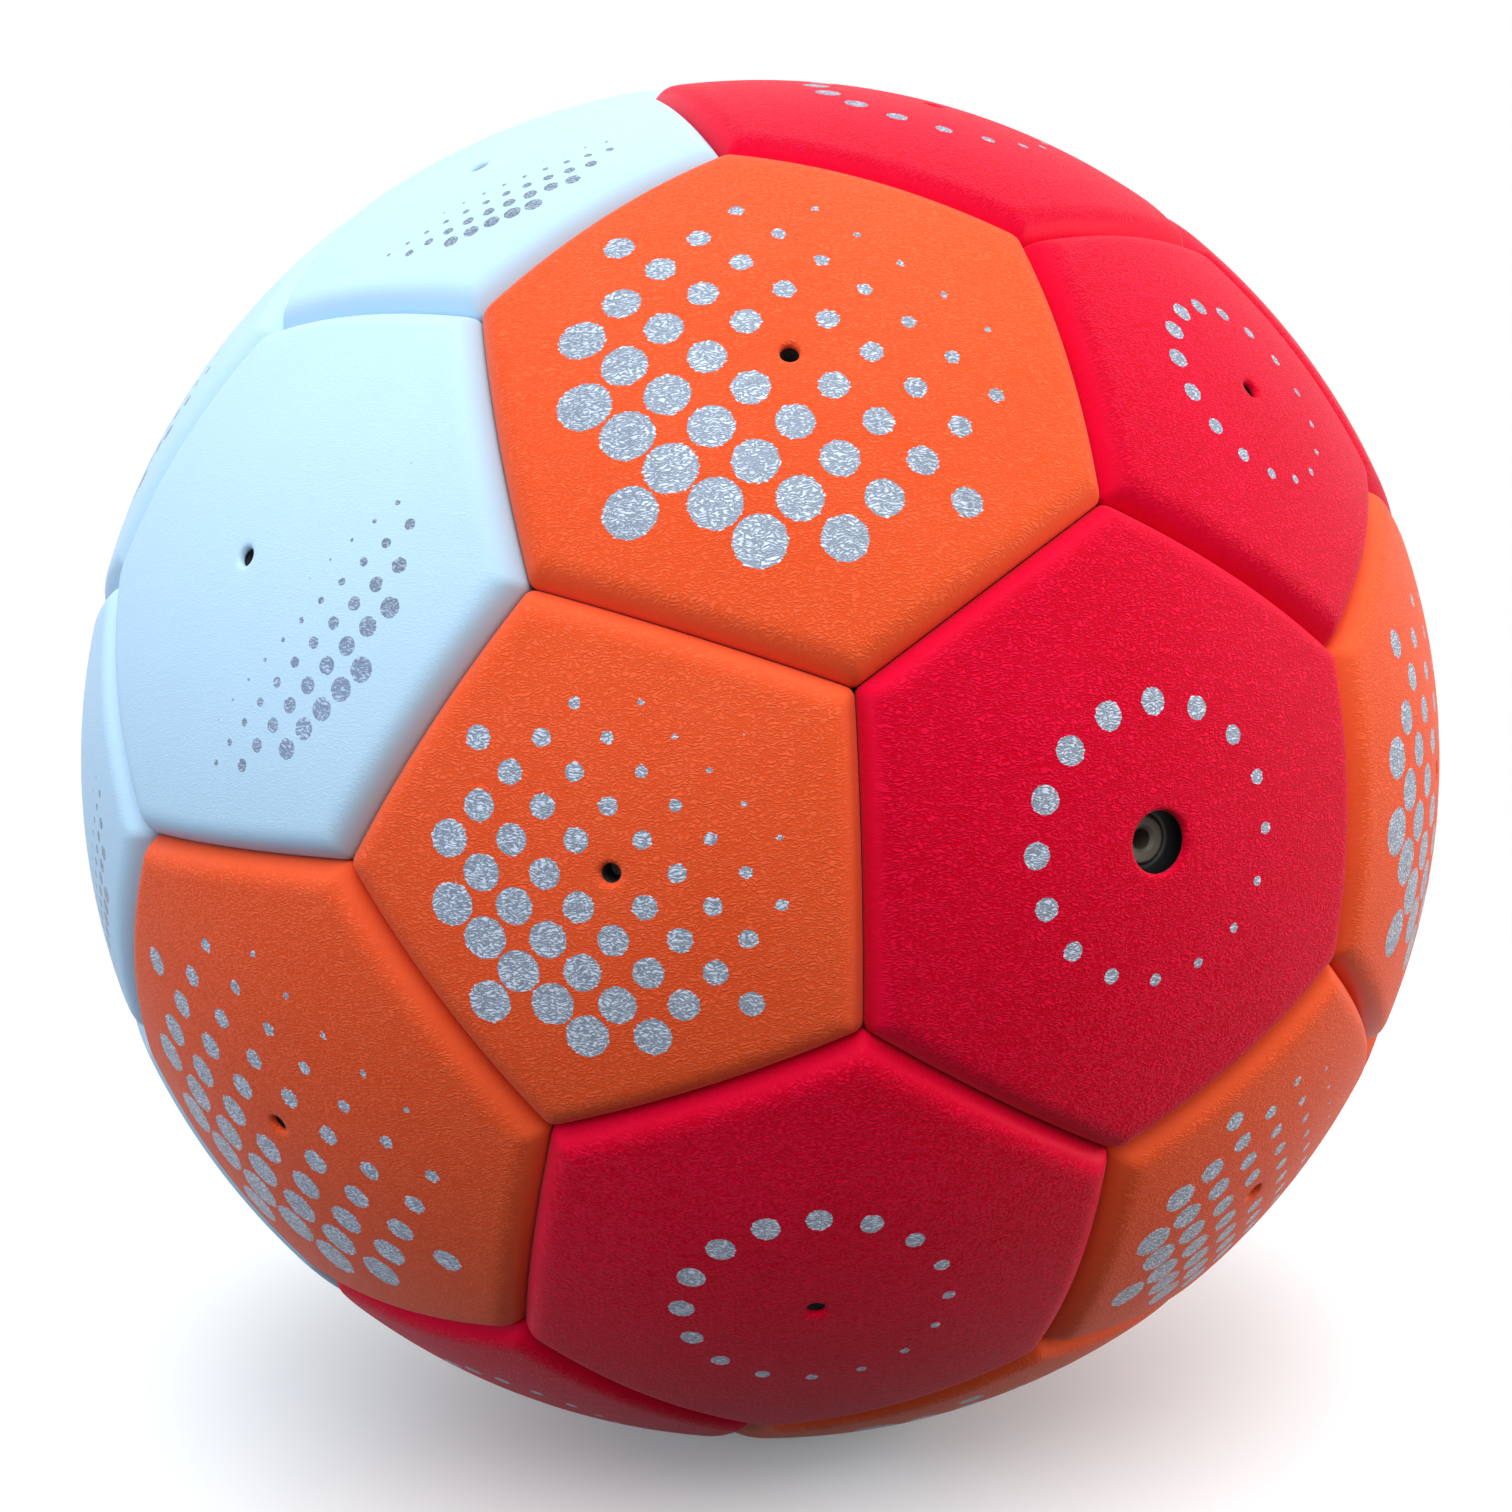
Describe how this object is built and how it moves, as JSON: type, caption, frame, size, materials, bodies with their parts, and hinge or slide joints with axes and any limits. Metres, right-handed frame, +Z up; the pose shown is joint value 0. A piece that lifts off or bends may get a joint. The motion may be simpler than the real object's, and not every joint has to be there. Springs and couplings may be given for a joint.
{
  "type": "handball",
  "caption": "Sewn handball with hexagon and pentagon panels in orange, red and white, rolled seams, breather holes and a recessed needle valve.",
  "frame": {"origin": "centre of the ball", "axes": "-Y out along the valve's axis, +Z up through the middle of a seam between two hexagons"},
  "size_m": [0.1496, 0.1496, 0.1496],
  "materials": {
    "orange_cover": "grained satin synthetic leather",
    "red_cover": "grained satin synthetic leather",
    "white_cover": "grained satin synthetic leather",
    "foam": "soft cellular foam",
    "lining_cloth": "laminated woven cloth",
    "thread": "waxed thread",
    "bladder_rubber": "smooth rubber",
    "black_rubber": "moulded matte rubber",
    "grey_rubber": "moulded matte rubber"
  },
  "bodies": {
    "ball": {"bladder": "bladder_rubber", "hexagon_foam_pads": "foam", "hexagon_linings": "lining_cloth", "orange_hexagon_panel_1": "orange_cover", "orange_hexagon_panel_2": "orange_cover", "orange_hexagon_panel_3": "orange_cover", "orange_hexagon_panel_4": "orange_cover", "orange_hexagon_panel_5": "orange_cover", "orange_hexagon_panel_6": "orange_cover", "orange_pentagon_panel_1": "orange_cover", "orange_pentagon_panel_2": "orange_cover", "orange_pentagon_panel_3": "orange_cover", "orange_pentagon_panel_4": "orange_cover", "pentagon_foam_pads": "foam", "pentagon_linings": "lining_cloth", "red_hexagon_panel_1": "red_cover", "red_hexagon_panel_2": "red_cover", "red_hexagon_panel_3": "red_cover", "red_hexagon_panel_4": "red_cover", "red_hexagon_panel_5": "red_cover", "red_hexagon_panel_6": "red_cover", "red_hexagon_panel_7": "red_cover", "red_pentagon_panel_1": "red_cover", "red_pentagon_panel_2": "red_cover", "red_pentagon_panel_3": "red_cover", "red_pentagon_panel_4": "red_cover", "seam_threads": "thread", "valve_foam_pad": "foam", "valve_housing": "black_rubber", "valve_lining": "lining_cloth", "valve_panel": "red_cover", "white_hexagon_panel_1": "white_cover", "white_hexagon_panel_2": "white_cover", "white_hexagon_panel_3": "white_cover", "white_hexagon_panel_4": "white_cover", "white_hexagon_panel_5": "white_cover", "white_hexagon_panel_6": "white_cover", "white_pentagon_panel_1": "white_cover", "white_pentagon_panel_2": "white_cover", "white_pentagon_panel_3": "white_cover", "white_pentagon_panel_4": "white_cover"},
    "valve_plug": {"valve_plug": "grey_rubber"}
  },
  "joints": [
    {"name": "valve_plug_slide", "type": "slide", "parent": "ball", "child": "valve_plug", "axis": [0, -1, 0], "range_m": [0, 0.025]}
  ]
}
